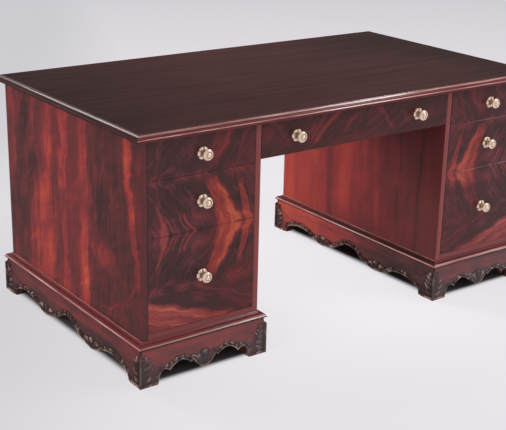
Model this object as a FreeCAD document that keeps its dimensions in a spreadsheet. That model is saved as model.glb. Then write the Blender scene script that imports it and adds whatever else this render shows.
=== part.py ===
import FreeCAD
import Part
import Sketcher
import os

# Kneehole pedestal desk of mahogany, in millimetres. The origin is on the floor under the middle of the
# top, the drawers face -Y, +X is to the right of someone facing the drawers and +Z is up.

doc = FreeCAD.newDocument("pedestal_desk")
sheet = doc.addObject("Spreadsheet::Sheet", "sizes")

SIZES = {
    # The desk as a whole
    "desk_width": 1640,
    "desk_depth": 914,
    "desk_height": 762,
    # Top and the moulded edge planted round it, from the upper arris down
    "top_thickness": 25,
    "top_edge_width": 40,
    "top_quirk": 3,
    "top_ovolo": 8,
    "top_ovolo_bow": 2.3,
    "top_fillet": 4,
    "top_cove": 12,
    "top_cove_bow": 3.2,
    # Plinth boards and the moulding that runs round on top of them
    "plinth_setback": 2,
    "plinth_height": 120,
    "plinth_thickness": 25,
    "plinth_recess": 7,
    "moulding_width": 22,
    "moulding_height": 19,
    "moulding_nose": 7,
    "moulding_bow": 1.6,
    "moulding_fillet": 2,
    "block_size": 30,
    # Bracket feet at the corners of every plinth board
    "front_foot_width": 65.5,
    "side_foot_width": 75,
    "foot_height": 105,
    "foot_shoulder": 14,
    "foot_ankle": 22,
    "foot_splay": 3,
    "foot_brow": 52,
    "foot_sweep": 9,
    "side_bracket": 50,
    # Scalloped lower edge at the front: pendant, long arch, short arch beside the foot
    "pendant_clear": 12,
    "pendant_half": 40,
    "pendant_shoulder": 48,
    "pendant_bow": 5.5,
    "pendant_relief": 4,
    "pendant_crest": 74,
    "pendant_crest_bow": 7,
    "arch_start": 48,
    "arch_spring": 39,
    "arch_rise": 17,
    "arch_cusp": 4,
    "scroll_width": 38,
    "scroll_spring": 32,
    "scroll_rise": 15,
    # Scalloped lower edge at the sides: middle arch, lobe, long arch beside the foot
    "side_crown": 62,
    "side_crown_bow": 6.5,
    "side_arch_half": 64,
    "side_arch_spring": 36,
    "lobe_start": 85,
    "lobe_end": 222,
    "lobe_edge": 26,
    "lobe_drop": 13,
    "lobe_relief": 4,
    "lobe_crest": 16,
    "side_cusp": 6,
    "side_scroll_spring": 34,
    "side_scroll_rise": 16,
    # Pedestals: posts at the corners, panels tongued in between, rails and runners inside
    "pedestal_width": 413,
    "wall_thickness": 20,
    "post_depth": 40,
    "tongue_thickness": 6,
    "tongue_length": 8,
    "back_thickness": 15,
    "back_setback": 3,
    "bottom_thickness": 18,
    "bottom_rail_height": 38,
    "rail_thickness": 18,
    "rail_width": 60,
    "housing_depth": 6,
    "runner_width": 30,
    # Drawers
    "top_drawer_height": 117,
    "middle_drawer_height": 170,
    "centre_drawer_height": 109,
    "centre_rest": 20,
    "front_thickness": 20,
    "side_thickness": 12,
    "drawer_back_thickness": 12,
    "drawer_bottom_thickness": 6,
    "groove_depth": 5,
    "groove_height": 8,
    "lap_thickness": 6,
    "tail_pitch": 25,
    "tail_tip": 16,
    "tail_flare": 2,
    "drawer_back_space": 220,
    "centre_back_space": 260,
    # Clearances of the drawers
    "seam": 1.5,
    "front_gap": 0.75,
    "box_gap": 1,
    "running_gap": 0.3,
    "stop_gap": 0.5,
    "head_room": 5,
    # Brass knobs
    "rosette_radius": 20,
    "rosette_thickness": 2,
    "rosette_rim": 5,
    "rosette_lip": 2,
    "knob_radius": 17,
    "knob_neck": 6,
    "knob_foot": 12,
    "knob_flare": 5,
    "knob_reach": 36,
    "knob_head": 16,
    "knob_bead": 5,
    "knob_bead_bow": 2,
    "knob_dome": 7,
    "knob_end_distance": 133,
}
for row, (alias, value) in enumerate(SIZES.items(), start=1):
    sheet.set(f"A{row}", alias)
    sheet.set(f"B{row}", str(value))
    sheet.setAlias(f"B{row}", alias)
doc.recompute()

# Faces that several pieces share, as expressions on the sheet. They describe the left pedestal.
zero = "0"
body_top = "(sizes.desk_height - sizes.top_thickness)"
plinth_side = "(sizes.desk_width / 2 - sizes.plinth_setback)"
plinth_end = "(sizes.desk_depth / 2 - sizes.plinth_setback)"
plinth_span = "(sizes.pedestal_width + 2 * sizes.moulding_width)"
plinth_build = "(sizes.plinth_thickness + sizes.plinth_recess)"
body_out = f"(sizes.moulding_width - {plinth_side})"
body_in = f"({body_out} + sizes.pedestal_width)"
body_middle = f"({body_out} + sizes.pedestal_width / 2)"
body_front = f"(sizes.moulding_width - {plinth_end})"
body_back = f"({plinth_end} - sizes.moulding_width)"
wall_out = f"({body_out} + sizes.wall_thickness)"
wall_in = f"({body_in} - sizes.wall_thickness)"
side_front = f"({body_front} + sizes.post_depth)"
side_back = f"({body_back} - sizes.post_depth)"
front_inside = f"({body_front} + sizes.front_thickness)"
rail_front = f"({front_inside} + sizes.stop_gap)"
rail_back = f"({rail_front} + sizes.rail_width)"
back_outside = f"({body_back} - sizes.back_setback)"
back_inside = f"({back_outside} - sizes.back_thickness)"
floor_top = "(sizes.plinth_height + sizes.bottom_rail_height)"
upper_seam = f"({body_top} - sizes.top_drawer_height)"
lower_seam = f"({upper_seam} - sizes.middle_drawer_height)"
half_rail = "(sizes.rail_thickness / 2)"
top_rail_under = f"({body_top} - sizes.rail_thickness)"
centre_low = f"({body_top} - sizes.centre_drawer_height)"
centre_rest = f"({centre_low} + sizes.centre_rest)"

nodes = {}


def number(expression):
    """The present value of an expression, in millimetres."""
    return float(sheet.evalExpression(expression))


def node(name, piece):
    """Names a finished sub-part."""
    piece.Label = name
    nodes[name] = piece


def place(piece, x, y, z, turn=0):
    """Stands a piece at three expressions, turned about the vertical by so many degrees."""
    piece.Placement = FreeCAD.Placement(FreeCAD.Vector(), FreeCAD.Rotation(FreeCAD.Vector(0, 0, 1), turn))
    for axis, expression in zip("xyz", (x, y, z)):
        piece.setExpression(f"Placement.Base.{axis}", expression)
    return piece


def board(name, x, y, z):
    """A straight plank; x, y and z each give its near and far face."""
    plank = doc.addObject("Part::Box", name)
    for side, (near, far) in zip(("Length", "Width", "Height"), (x, y, z)):
        plank.setExpression(side, f"({far}) - ({near})")
    return place(plank, x[0], y[0], z[0])


def cut(base, *tools):
    """A piece with the seats of other pieces let into it, one after another."""
    for tool in tools:
        piece = doc.addObject("Part::Cut", f"{base.Name}_for_{tool.Name}")
        piece.Base = base
        piece.Tool = tool
        base = piece
    return base


def mirrored(source, axis, middle=zero):
    """The other hand of a piece, across the plane at a place along x or y."""
    copy = doc.addObject("Part::Mirroring", f"{source.Name}_other")
    copy.Source = source
    copy.Normal = FreeCAD.Vector(axis == "x", axis == "y", 0)
    copy.setExpression(f"Base.{axis}", middle)
    return copy


def group(name, pieces):
    """Several separate pieces of one kind that share a node."""
    compound = doc.addObject("Part::Compound", name)
    compound.Links = pieces
    return compound


def both_sides(name, piece):
    """A piece of the left pedestal and its mirror image in the right one."""
    node(f"left_{name}", piece)
    node(f"right_{name}", mirrored(piece, "x"))


def outline(sketch, corners):
    """Draws a closed outline, anticlockwise. A corner is (across, up), or (across, up, rise) where the
    stretch after it is an arc that stands out from its chord by rise, or in by a negative rise."""
    spots = [FreeCAD.Vector(number(corner[0]), number(corner[1]), 0) for corner in corners]
    stretches = []
    arcs = []
    for index, corner in enumerate(corners):
        start = spots[index]
        end = spots[(index + 1) % len(spots)]
        if len(corner) == 2:
            stretches.append((sketch.addGeometry(Part.LineSegment(start, end)), 1, 2))
            continue
        rise = number(corner[2])
        chord = end - start
        crown = (start + end) * 0.5 + FreeCAD.Vector(chord.y, -chord.x, 0) * (rise / chord.Length)
        if rise > 0:
            stretches.append((sketch.addGeometry(Part.Arc(start, crown, end)), 1, 2))
        else:
            stretches.append((sketch.addGeometry(Part.Arc(end, crown, start)), 2, 1))
        across, up = corners[(index + 1) % len(corners)][:2]
        chord_squared = f"((({across}) - ({corner[0]}))^2 + (({up}) - ({corner[1]}))^2)"
        bow = f"abs({corner[2]})"
        arcs.append((stretches[-1][0], f"{chord_squared} / (8 * {bow}) + {bow} / 2"))
    for index, (geometry, first, last) in enumerate(stretches):
        following = stretches[(index + 1) % len(stretches)]
        sketch.addConstraint(Sketcher.Constraint("Coincident", geometry, last, following[0], following[1]))
    bound = []
    for (geometry, first, last), spot, corner in zip(stretches, spots, corners):
        bound.append((Sketcher.Constraint("DistanceX", -1, 1, geometry, first, spot.x), corner[0]))
        bound.append((Sketcher.Constraint("DistanceY", -1, 1, geometry, first, spot.y), corner[1]))
    for geometry, radius in arcs:
        bound.append((Sketcher.Constraint("Radius", geometry, number(radius)), radius))
    places = sketch.addConstraint([constraint for constraint, expression in bound])
    for constraint_place, (constraint, expression) in zip(places, bound):
        sketch.setExpression(f"Constraints[{constraint_place}]", expression)


def sketched(body, name, role, *outlines):
    """A sketch with one or more outlines on one of a body's own origin planes."""
    sketch = body.newObject("Sketcher::SketchObject", f"{body.Name}_{name}")
    plane = next(feature for feature in body.Origin.OriginFeatures if feature.Role == role)
    sketch.AttachmentSupport = [(plane, "")]
    sketch.MapMode = "FlatFace"
    for corners in outlines:
        outline(sketch, corners)
    return sketch


def padded(body, name, role, length, *outlines, side="One side"):
    """Material of one thickness added to a body."""
    pad = body.newObject("PartDesign::Pad", f"{body.Name}_{name}_pad")
    pad.Profile = sketched(body, name, role, *outlines)
    pad.SideType = side
    pad.setExpression("Length", length)
    return pad


def sawn(body, name, role, *outlines):
    """Cuts away outlines right through a body."""
    doc.recompute()
    whole = body.Shape.Volume
    pocket = body.newObject("PartDesign::Pocket", f"{body.Name}_{name}_cut")
    pocket.Profile = sketched(body, name, role, *outlines)
    pocket.Type = "ThroughAll"
    pocket.SideType = "Symmetric"
    doc.recompute()
    if body.Shape.Volume >= whole:
        raise ValueError(f"{body.Name} was not cut by its {name}")


def mitred(body, half_length, inner, outer):
    """Cuts both ends of a body at 45 degrees, from its outer face to its inner face in plan."""
    tip = f"({half_length} - (({inner}) - ({outer})))"
    corners = [(half_length, outer), (half_length, inner), (tip, inner)]
    sawn(body, "mitres", "XY_Plane", corners, across_middle(corners))
    return body


def both_halves(half):
    """A whole edge, right to left, from its right half, which ends at the middle."""
    whole = list(half[:-1])
    for near, far in zip(reversed(half[:-1]), reversed(half[1:])):
        whole.append((f"-{far[0]}", far[1], *near[2:]))
    whole.append((f"-{half[0][0]}", half[0][1]))
    return whole


def across_middle(corners):
    """The same outline on the other side of the middle, still anticlockwise."""
    flipped = []
    for near, far in zip(corners, corners[1:] + corners[:1]):
        flipped.insert(0, (f"-{far[0]}", far[1], *near[2:]))
    return flipped


# Plinth: four boards to each pedestal, mitred at the corners, where they end in bracket feet that stand
# out flush with the moulding above. The lower edge is sawn to its scallops through board and brackets.
def foot_outline(half, tip):
    """The raised bracket at the right end of a plinth board, before the scallops are sawn."""
    return [
        (tip, zero),
        (half, zero),
        (half, "sizes.foot_height"),
        (f"({half} - sizes.foot_shoulder)", "sizes.foot_height", "-sizes.foot_sweep"),
        (tip, "sizes.foot_brow"),
    ]


def plinth_board(name, half, foot, edge, relief, relief_outlines):
    """A board whose length is twice half; edge is the right half of its scalloped lower edge."""
    body = doc.addObject("PartDesign::Body", name)
    other_end = f"-{half}"
    upper = "sizes.plinth_height"
    face = [(other_end, zero), (half, zero), (half, upper), (other_end, upper)]
    padded(body, "face", "XZ_Plane", "sizes.plinth_thickness", face)
    padded(body, "right_foot", "XZ_Plane", plinth_build, foot)
    padded(body, "left_foot", "XZ_Plane", plinth_build, across_middle(foot))
    for count, corners in enumerate(relief_outlines, start=1):
        padded(body, f"relief{count}", "XZ_Plane", f"sizes.plinth_thickness + {relief}", corners)
    sawn(body, "scallops", "XZ_Plane", both_halves(edge))
    return mitred(body, half, zero, f"-{plinth_build}")


front_half = f"({plinth_span} / 2)"
front_foot_in = f"({front_half} - sizes.front_foot_width)"
front_ankle = f"({front_foot_in} - sizes.foot_splay)"
front_cusp = f"({front_ankle} - sizes.scroll_width)"
front_edge = [
    (front_foot_in, zero),
    (front_ankle, "sizes.foot_ankle", "sizes.scroll_rise"),
    (front_cusp, "sizes.scroll_spring"),
    (f"({front_cusp} - sizes.arch_cusp)", "sizes.arch_spring", "sizes.arch_rise"),
    ("sizes.arch_start", "sizes.arch_spring"),
    ("sizes.pendant_half", "sizes.pendant_shoulder", "-sizes.pendant_bow"),
    (zero, "sizes.pendant_clear"),
]
pendant_outline = [
    ("-sizes.pendant_half", zero),
    ("sizes.pendant_half", zero),
    ("sizes.pendant_half", "sizes.pendant_shoulder", "sizes.pendant_crest_bow"),
    (zero, "sizes.pendant_crest", "sizes.pendant_crest_bow"),
    ("-sizes.pendant_half", "sizes.pendant_shoulder"),
]
plinth_front = plinth_board("plinth_front", front_half, foot_outline(front_half, front_cusp), front_edge,
                            "sizes.pendant_relief", [pendant_outline])
place(plinth_front, body_middle, f"{plinth_build} - {plinth_end}", zero)
both_sides("plinth_front", plinth_front)
both_sides("plinth_back", mirrored(plinth_front, "y"))

side_half = plinth_end
side_foot_in = f"({side_half} - sizes.side_foot_width)"
side_ankle = f"({side_foot_in} - sizes.foot_splay)"
side_edge = [
    (side_foot_in, zero),
    (side_ankle, "sizes.foot_ankle", "sizes.side_scroll_rise"),
    ("(sizes.lobe_end + sizes.side_cusp)", "sizes.side_scroll_spring"),
    ("sizes.lobe_end", "sizes.lobe_edge", "-sizes.lobe_drop"),
    ("sizes.lobe_start", "sizes.lobe_edge"),
    ("sizes.side_arch_half", "sizes.side_arch_spring", "sizes.side_crown_bow"),
    (zero, "sizes.side_crown"),
]
lobe_outline = [
    ("sizes.lobe_start", zero),
    ("sizes.lobe_end", zero),
    ("sizes.lobe_end", "sizes.lobe_edge", "sizes.lobe_crest"),
    ("sizes.lobe_start", "sizes.lobe_edge"),
]
plinth_outer = plinth_board("plinth_outer", side_half,
                            foot_outline(side_half, f"({side_ankle} - sizes.side_bracket)"), side_edge,
                            "sizes.lobe_relief", [lobe_outline, across_middle(lobe_outline)])
place(plinth_outer, f"{plinth_build} - {plinth_side}", zero, zero, turn=-90)
both_sides("plinth_outer_side", plinth_outer)
both_sides("plinth_inner_side", mirrored(plinth_outer, "x", body_middle))

# Blocks glued behind the feet carry the posts down to the floor.
block_out = f"({plinth_build} - {plinth_side})"
block_front = f"({plinth_build} - {plinth_end})"
block = board("corner_block", (block_out, f"{block_out} + sizes.block_size"),
              (block_front, f"{block_front} + sizes.block_size"), (zero, "sizes.plinth_height"))
blocks = [block, mirrored(block, "y")]
blocks += [mirrored(piece, "x", body_middle) for piece in blocks]
blocks += [mirrored(piece, "x") for piece in blocks]
node("plinth_corner_blocks", group("corner_blocks", blocks))


# Mouldings are planted in four mitred lengths, front, right, back and left, round a rectangle in plan.
def moulding_frame(name, profile, width, middle, half_x, half_y, low):
    """Mitred lengths whose outer edges lie half_x and half_y from the middle."""
    sides = (
        ("front", half_x, middle, f"-{half_y}", 0),
        ("right", half_y, f"({middle} + {half_x})", zero, 90),
        ("back", half_x, middle, half_y, 180),
        ("left", half_y, f"({middle} - {half_x})", zero, 270),
    )
    lengths = []
    for side, half, x, y, turn in sides:
        body = doc.addObject("PartDesign::Body", f"{name}_{side}")
        padded(body, "run", "YZ_Plane", f"2 * {half}", profile, side="Symmetric")
        mitred(body, half, width, zero)
        lengths.append(place(body, x, y, low, turn))
    return group(name, lengths)


cyma_middle = "((sizes.moulding_nose + sizes.moulding_height - sizes.moulding_fillet) / 2)"
cyma_top = "(sizes.moulding_height - sizes.moulding_fillet)"
plinth_profile = [
    (zero, zero),
    ("sizes.moulding_width", zero),
    ("sizes.moulding_width", "sizes.moulding_height"),
    ("(sizes.moulding_width - sizes.moulding_fillet)", "sizes.moulding_height"),
    ("(sizes.moulding_width - sizes.moulding_fillet)", cyma_top, "-sizes.moulding_bow"),
    ("(sizes.moulding_width / 2)", cyma_middle, "sizes.moulding_bow"),
    (zero, "sizes.moulding_nose"),
]
plinth_moulding = moulding_frame("plinth_moulding", plinth_profile, "sizes.moulding_width", body_middle,
                                 front_half, plinth_end, "sizes.plinth_height")
both_sides("plinth_moulding", plinth_moulding)

# Top: a veneered panel with the moulded edge mitred round it.
ovolo_top = "(sizes.top_thickness - sizes.top_quirk)"
nose_top = f"({ovolo_top} - sizes.top_ovolo)"
nose_low = f"({nose_top} - sizes.top_fillet)"
top_profile = [
    ("sizes.top_cove", zero),
    ("sizes.top_edge_width", zero),
    ("sizes.top_edge_width", "sizes.top_thickness"),
    ("sizes.top_ovolo", "sizes.top_thickness"),
    ("sizes.top_ovolo", ovolo_top, "sizes.top_ovolo_bow"),
    (zero, nose_top),
    (zero, nose_low, "-sizes.top_cove_bow"),
]
top_half_x = "(sizes.desk_width / 2)"
top_half_y = "(sizes.desk_depth / 2)"
panel_x = f"({top_half_x} - sizes.top_edge_width)"
panel_y = f"({top_half_y} - sizes.top_edge_width)"
desk_top = board("desk_top", (f"-{panel_x}", panel_x), (f"-{panel_y}", panel_y),
                 (body_top, "sizes.desk_height"))
node("desk_top", desk_top)
top_edge = moulding_frame("top_edge_moulding", top_profile, "sizes.top_edge_width", zero,
                          top_half_x, top_half_y, body_top)
node("top_edge_moulding", top_edge)

# Inside each pedestal: three rails behind the drawer fronts, housed into posts and sides, runners
# behind them, and a bottom board housed the same way.
housed = (f"({wall_out} - sizes.housing_depth)", f"({wall_in} + sizes.housing_depth)")
rail_run = (rail_front, rail_back)
rail_levels = (
    (f"({upper_seam} - {half_rail})", f"({upper_seam} + {half_rail})"),
    (f"({lower_seam} - {half_rail})", f"({lower_seam} + {half_rail})"),
    (top_rail_under, body_top),
)
rails = [board(f"rail{count}", housed, rail_run, level) for count, level in enumerate(rail_levels, start=1)]
both_sides("drawer_rails", group("drawer_rails", rails))

runner_x = (wall_out, f"({wall_out} + sizes.runner_width)")
runners = []
for count, level in enumerate(rail_levels[:2], start=1):
    runner = board(f"runner{count}", runner_x, (rail_back, back_inside), level)
    runners += [runner, mirrored(runner, "x", body_middle)]
both_sides("drawer_runners", group("drawer_runners", runners))

bottom_low = f"({floor_top} - sizes.bottom_thickness)"
bottom_board = board("bottom_board", housed, (front_inside, back_inside), (bottom_low, floor_top))
both_sides("bottom_board", bottom_board)
bottom_rail = board("bottom_rail", (wall_out, wall_in), (body_front, front_inside),
                    ("sizes.plinth_height", floor_top))
both_sides("bottom_rail", bottom_rail)

# Back panel, let into grooves in the rear posts.
grooved = (f"({wall_out} - sizes.tongue_length)", f"({wall_in} + sizes.tongue_length)")
back_panel = board("back_panel", grooved, (back_inside, back_outside), ("sizes.plinth_height", body_top))
both_sides("back_panel", back_panel)

# Side panels, tongued into the posts before and behind them.
tongue_out = f"({body_out} + (sizes.wall_thickness - sizes.tongue_thickness) / 2)"
tongue_in = f"({tongue_out} + sizes.tongue_thickness)"
tongue_front = f"({side_front} - sizes.tongue_length)"
tongue_back = f"({side_back} + sizes.tongue_length)"
panel_plan = [
    (body_out, side_front),
    (tongue_out, side_front),
    (tongue_out, tongue_front),
    (tongue_in, tongue_front),
    (tongue_in, side_front),
    (wall_out, side_front),
    (wall_out, side_back),
    (tongue_in, side_back),
    (tongue_in, tongue_back),
    (tongue_out, tongue_back),
    (tongue_out, side_back),
    (body_out, side_back),
]
side_body = doc.addObject("PartDesign::Body", "side_body")
padded(side_body, "plan", "XY_Plane", f"{body_top} - sizes.plinth_height", panel_plan)
place(side_body, zero, zero, "sizes.plinth_height")
outer_side = cut(side_body, *rails, bottom_board)
both_sides("outer_side", outer_side)
both_sides("inner_side", mirrored(outer_side, "x", body_middle))

# Corner posts, from the plinth up to the top.
post_rise = ("sizes.plinth_height", body_top)
front_stock = board("front_post", (body_out, wall_out), (body_front, side_front), post_rise)
rear_stock = board("rear_post", (body_out, wall_out), (side_back, body_back), post_rise)
front_post = cut(front_stock, side_body, *rails, bottom_board)
rear_post = cut(rear_stock, side_body, back_panel, bottom_board)
posts = [front_post, rear_post]
posts += [mirrored(post, "x", body_middle) for post in posts]
both_sides("corner_posts", group("corner_posts", posts))

# Between the pedestals: the runners of the centre drawer, a rail over it and a back rail.
knee_right = f"(-{body_in})"
knee_back = f"({back_outside} - sizes.wall_thickness)"
centre_runner = board("centre_runner", (body_in, f"({body_in} + sizes.runner_width)"),
                      (rail_front, knee_back), (f"({centre_rest} - sizes.rail_thickness)", centre_rest))
node("centre_runners", group("centre_runners", [centre_runner, mirrored(centre_runner, "x")]))
knee_top = board("knee_top", (body_in, knee_right), rail_run, (top_rail_under, body_top))
node("kneehole_top_rail", knee_top)
knee_rail = board("knee_rail", (body_in, knee_right), (knee_back, back_outside), (centre_low, body_top))
node("kneehole_back_rail", knee_rail)


# Drawers: a front with half-blind dovetails, sides and a back joined by through dovetails, and a bottom
# that slides in grooves under the back. Each knob stands on a dished rosette.
def tails(body, name, root, tip, low, high):
    """A row of dovetails along one end of a drawer side, from root to tip in depth."""
    count = max(1, int(number(f"{high} - {low}") // number("sizes.tail_pitch")))
    pitch = f"(({high} - {low}) / {count})"
    middle = f"({low} + {pitch} / 2)"
    wide = "(sizes.tail_tip / 2)"
    narrow = "(sizes.tail_tip / 2 - sizes.tail_flare)"
    corners = [
        (root, f"({middle} - {narrow})"),
        (root, f"({middle} + {narrow})"),
        (tip, f"({middle} + {wide})"),
        (tip, f"({middle} - {wide})"),
    ]
    if number(tip) > number(root):
        corners.reverse()
    tail = padded(body, name, "YZ_Plane", "sizes.side_thickness", corners)
    if count == 1:
        return
    doc.recompute()
    row = body.newObject("PartDesign::LinearPattern", f"{body.Name}_{name}_row")
    row.Originals = [tail]
    upright = next(feature for feature in body.Origin.OriginFeatures if feature.Role == "Z_Axis")
    row.Direction = (upright, [""])
    row.setExpression("Length", f"{pitch} * {count - 1}")
    row.Occurrences = count
    body.Tip = row


def turned(name, profile, x, z):
    """A round piece on the face of a drawer front, its axis square to the front."""
    body = doc.addObject("PartDesign::Body", name)
    revolution = body.newObject("PartDesign::Revolution", f"{name}_turning")
    sketch = sketched(body, "profile", "XY_Plane", profile)
    revolution.Profile = sketch
    revolution.ReferenceAxis = (sketch, ["V_Axis"])
    return place(body, x, body_front, z, turn=180)


def knob(name, x, z):
    """A rosette with a raised rim and the knob that stands in its dish."""
    rim_in = "(sizes.rosette_radius - sizes.rosette_rim)"
    rosette = [
        (zero, zero),
        ("sizes.rosette_radius", zero),
        ("sizes.rosette_radius", "sizes.rosette_thickness", "sizes.rosette_lip"),
        (rim_in, "sizes.rosette_thickness"),
        (zero, "sizes.rosette_thickness"),
    ]
    bead_x = "(sizes.knob_radius - sizes.knob_bead_bow)"
    bead_high = "(sizes.knob_reach - sizes.knob_dome)"
    dome_chord = f"({bead_x}^2 + sizes.knob_dome^2)"
    dome_radius = f"({dome_chord} / (2 * sizes.knob_dome))"
    dome_rise = f"({dome_radius} - sqrt({dome_radius}^2 - {dome_chord} / 4))"
    grip = [
        (zero, "sizes.rosette_thickness"),
        ("sizes.knob_foot", "sizes.rosette_thickness", "-sizes.rosette_lip"),
        ("sizes.knob_neck", "(sizes.rosette_thickness + sizes.knob_flare)"),
        ("sizes.knob_neck", "(sizes.knob_reach - sizes.knob_head)"),
        (bead_x, f"({bead_high} - sizes.knob_bead)", "sizes.knob_bead_bow"),
        (bead_x, bead_high, dome_rise),
        (zero, "sizes.knob_reach"),
    ]
    return [turned(f"{name}_rosette", rosette, x, z), turned(f"{name}_grip", grip, x, z)]


def drawer(name, opening, front_z, box_z, back, knob_places):
    """The four nodes of one drawer, as (part, piece) pairs."""
    near, far = opening
    low, high = box_z
    middle = f"(({near} + {far}) / 2)"
    box_x = (f"({near} + sizes.box_gap)", f"({far} - sizes.box_gap)")
    groove_inset = "(sizes.side_thickness - sizes.groove_depth)"
    groove_low = f"({low} + sizes.groove_height)"
    groove_high = f"({groove_low} + sizes.drawer_bottom_thickness)"
    back_face = f"({back} - sizes.drawer_back_thickness)"
    bottom = board(f"{name}_bottom", (f"({box_x[0]} + {groove_inset})", f"({box_x[1]} - {groove_inset})"),
                   (f"({front_inside} - sizes.groove_depth)", back), (groove_low, groove_high))
    side = doc.addObject("PartDesign::Body", f"{name}_side")
    face = [(front_inside, low), (back_face, low), (back_face, high), (front_inside, high)]
    padded(side, "face", "YZ_Plane", "sizes.side_thickness", face)
    tails(side, "front_tails", front_inside, f"({body_front} + sizes.lap_thickness)", low, high)
    tails(side, "back_tails", back_face, back, groove_high, high)
    place(side, box_x[0], zero, zero)
    other_side = mirrored(side, "x", middle)
    front_x = (f"({near} + sizes.front_gap)", f"({far} - sizes.front_gap)")
    front = board(f"{name}_front", front_x, (body_front, front_inside), front_z)
    back_board = board(f"{name}_back", box_x, (back_face, back), (groove_high, high))
    box = [cut(side, bottom), cut(other_side, bottom), cut(back_board, side, other_side)]
    knobs = []
    for count, x in enumerate(knob_places, start=1):
        knobs += knob(f"{name}_knob{count}", x, f"(({front_z[0]} + {front_z[1]}) / 2)")
    return (
        ("front", cut(front, side, other_side, bottom)),
        ("box", group(f"{name}_box", box)),
        ("bottom", bottom),
        ("knob", group(f"{name}_knobs", knobs)),
    )


half_seam = "(sizes.seam / 2)"
pedestal_back = f"({back_inside} - sizes.drawer_back_space)"
pedestal_drawers = (
    ("top_drawer", (f"({upper_seam} + {half_seam})", f"({body_top} - sizes.seam)"),
     (f"({rail_levels[0][1]} + sizes.running_gap)", f"({top_rail_under} - sizes.head_room)")),
    ("middle_drawer", (f"({lower_seam} + {half_seam})", f"({upper_seam} - {half_seam})"),
     (f"({rail_levels[1][1]} + sizes.running_gap)", f"({rail_levels[0][0]} - sizes.head_room)")),
    ("bottom_drawer", (f"({floor_top} + sizes.seam)", f"({lower_seam} - {half_seam})"),
     (f"({floor_top} + sizes.running_gap)", f"({rail_levels[1][0]} - sizes.head_room)")),
)
for name, front_z, box_z in pedestal_drawers:
    for part, piece in drawer(name, (wall_out, wall_in), front_z, box_z, pedestal_back, [body_middle]):
        both_sides(f"{name}_{part}", piece)

centre_front_z = (centre_low, f"({body_top} - sizes.seam)")
centre_box_z = (f"({centre_rest} + sizes.running_gap)", f"({top_rail_under} - sizes.head_room)")
centre_back = f"({knee_back} - sizes.centre_back_space)"
knob_left = f"({body_in} + sizes.knob_end_distance)"
for part, piece in drawer("centre_drawer", (body_in, knee_right), centre_front_z, centre_box_z, centre_back,
                          [knob_left, f"(-{knob_left})"]):
    node(f"centre_drawer_{part}", piece)

doc.recompute()
for item in doc.Objects:
    if "Invalid" in item.State or "Error" in item.State:
        raise ValueError(f"{item.Name} did not build: {item.State}")
for name, piece in nodes.items():
    if piece.Shape.isNull() or not piece.Shape.isValid():
        raise ValueError(f"{name} has no valid shape")

os.makedirs("parts", exist_ok=True)
for name, piece in nodes.items():
    piece.Shape.exportStep(f"parts/{name}.step")
print(f"{len(nodes)} sub-parts")
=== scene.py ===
import math

import bmesh
import bpy
import numpy as np
from mathutils import Matrix, Vector


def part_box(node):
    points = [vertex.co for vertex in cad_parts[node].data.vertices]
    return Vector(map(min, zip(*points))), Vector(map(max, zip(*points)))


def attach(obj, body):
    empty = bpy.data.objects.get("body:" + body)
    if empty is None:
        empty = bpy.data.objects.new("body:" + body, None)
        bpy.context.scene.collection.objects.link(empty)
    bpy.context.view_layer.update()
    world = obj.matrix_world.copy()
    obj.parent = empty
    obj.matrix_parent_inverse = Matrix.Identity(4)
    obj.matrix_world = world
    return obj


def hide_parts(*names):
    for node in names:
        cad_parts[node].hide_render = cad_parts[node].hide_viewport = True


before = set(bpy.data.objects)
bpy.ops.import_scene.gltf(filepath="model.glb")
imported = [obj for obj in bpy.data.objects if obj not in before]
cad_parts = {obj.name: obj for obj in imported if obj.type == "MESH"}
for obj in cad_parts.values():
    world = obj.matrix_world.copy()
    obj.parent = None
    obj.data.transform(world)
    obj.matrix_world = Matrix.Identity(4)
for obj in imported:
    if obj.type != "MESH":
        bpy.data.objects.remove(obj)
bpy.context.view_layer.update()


# Plinth boards
# Each pedestal stands on four mitred mahogany boards. Their lower edges are sawn to scallops with a
# rolled rim, and leaves are carved on the feet, along the rim and, as a fan, at each hanging lobe.
SIDES = {"left": -1, "right": 1}
# Sizes are in millimetres, and places are measured from the floor under the middle of the desk.
MM = 0.001
PLINTH_IN = 361.0
PLINTH_OUT = 818.0
PLINTH_DEEP = 455.0
PLINTH_MIDDLE = (PLINTH_OUT + PLINTH_IN) / 2
PLINTH_HALF = (PLINTH_OUT - PLINTH_IN) / 2
BOARD_FACE = 25.0
FOOT_FACE = 32.0
BOARD_TOP = 120.0
# The corners of a sawn edge: across from the board's middle, height, and the bow of the stretch before.
FRONT_SCALLOPS = (
    (0, 12, 0), (40, 48, -5.5), (48, 39, 0), (118, 39, 17), (122, 32, 0), (160, 22, 15),
    (163, 0, 0), (PLINTH_HALF, 0, 0),
)
SIDE_SCALLOPS = (
    (0, 62, 0), (64, 36, 6.5), (85, 26, 0), (222, 26, -13), (228, 34, 0), (377, 22, 16),
    (380, 0, 0), (PLINTH_DEEP, 0, 0),
)
# The fan at a hanging lobe: its middle, foot, reach across, reach up and number of ribs.
FRONT_FAN = (0, 17, 43, 57, 4.5)
SIDE_FAN = (153.5, 16, 72, 34, 5.5)
# Where the wing of a foot starts, across from the board's middle.
FRONT_WING = 122
SIDE_WING = 327
# The carved points: how close they are along the sawn edge, along a board and over its feet, how wide a
# foot is there, and how many rows go up the board.
EDGE_GAP = 1.5
BOARD_GAP = 2.1
FOOT_GAP = 1.4
FOOT_WIDE = 64
ROWS = 54


def bowed(start, end, rise, count):
    """Points after start up to end on a shallow arc whose middle stands rise off the chord."""
    length = math.dist(start, end)
    across = ((start[1] - end[1]) / length, (end[0] - start[0]) / length)
    steps = [(i + 1) / count for i in range(count)]
    return [
        tuple(start[k] + (end[k] - start[k]) * t + across[k] * 4 * rise * t * (1 - t) for k in (0, 1))
        for t in steps
    ]


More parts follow.
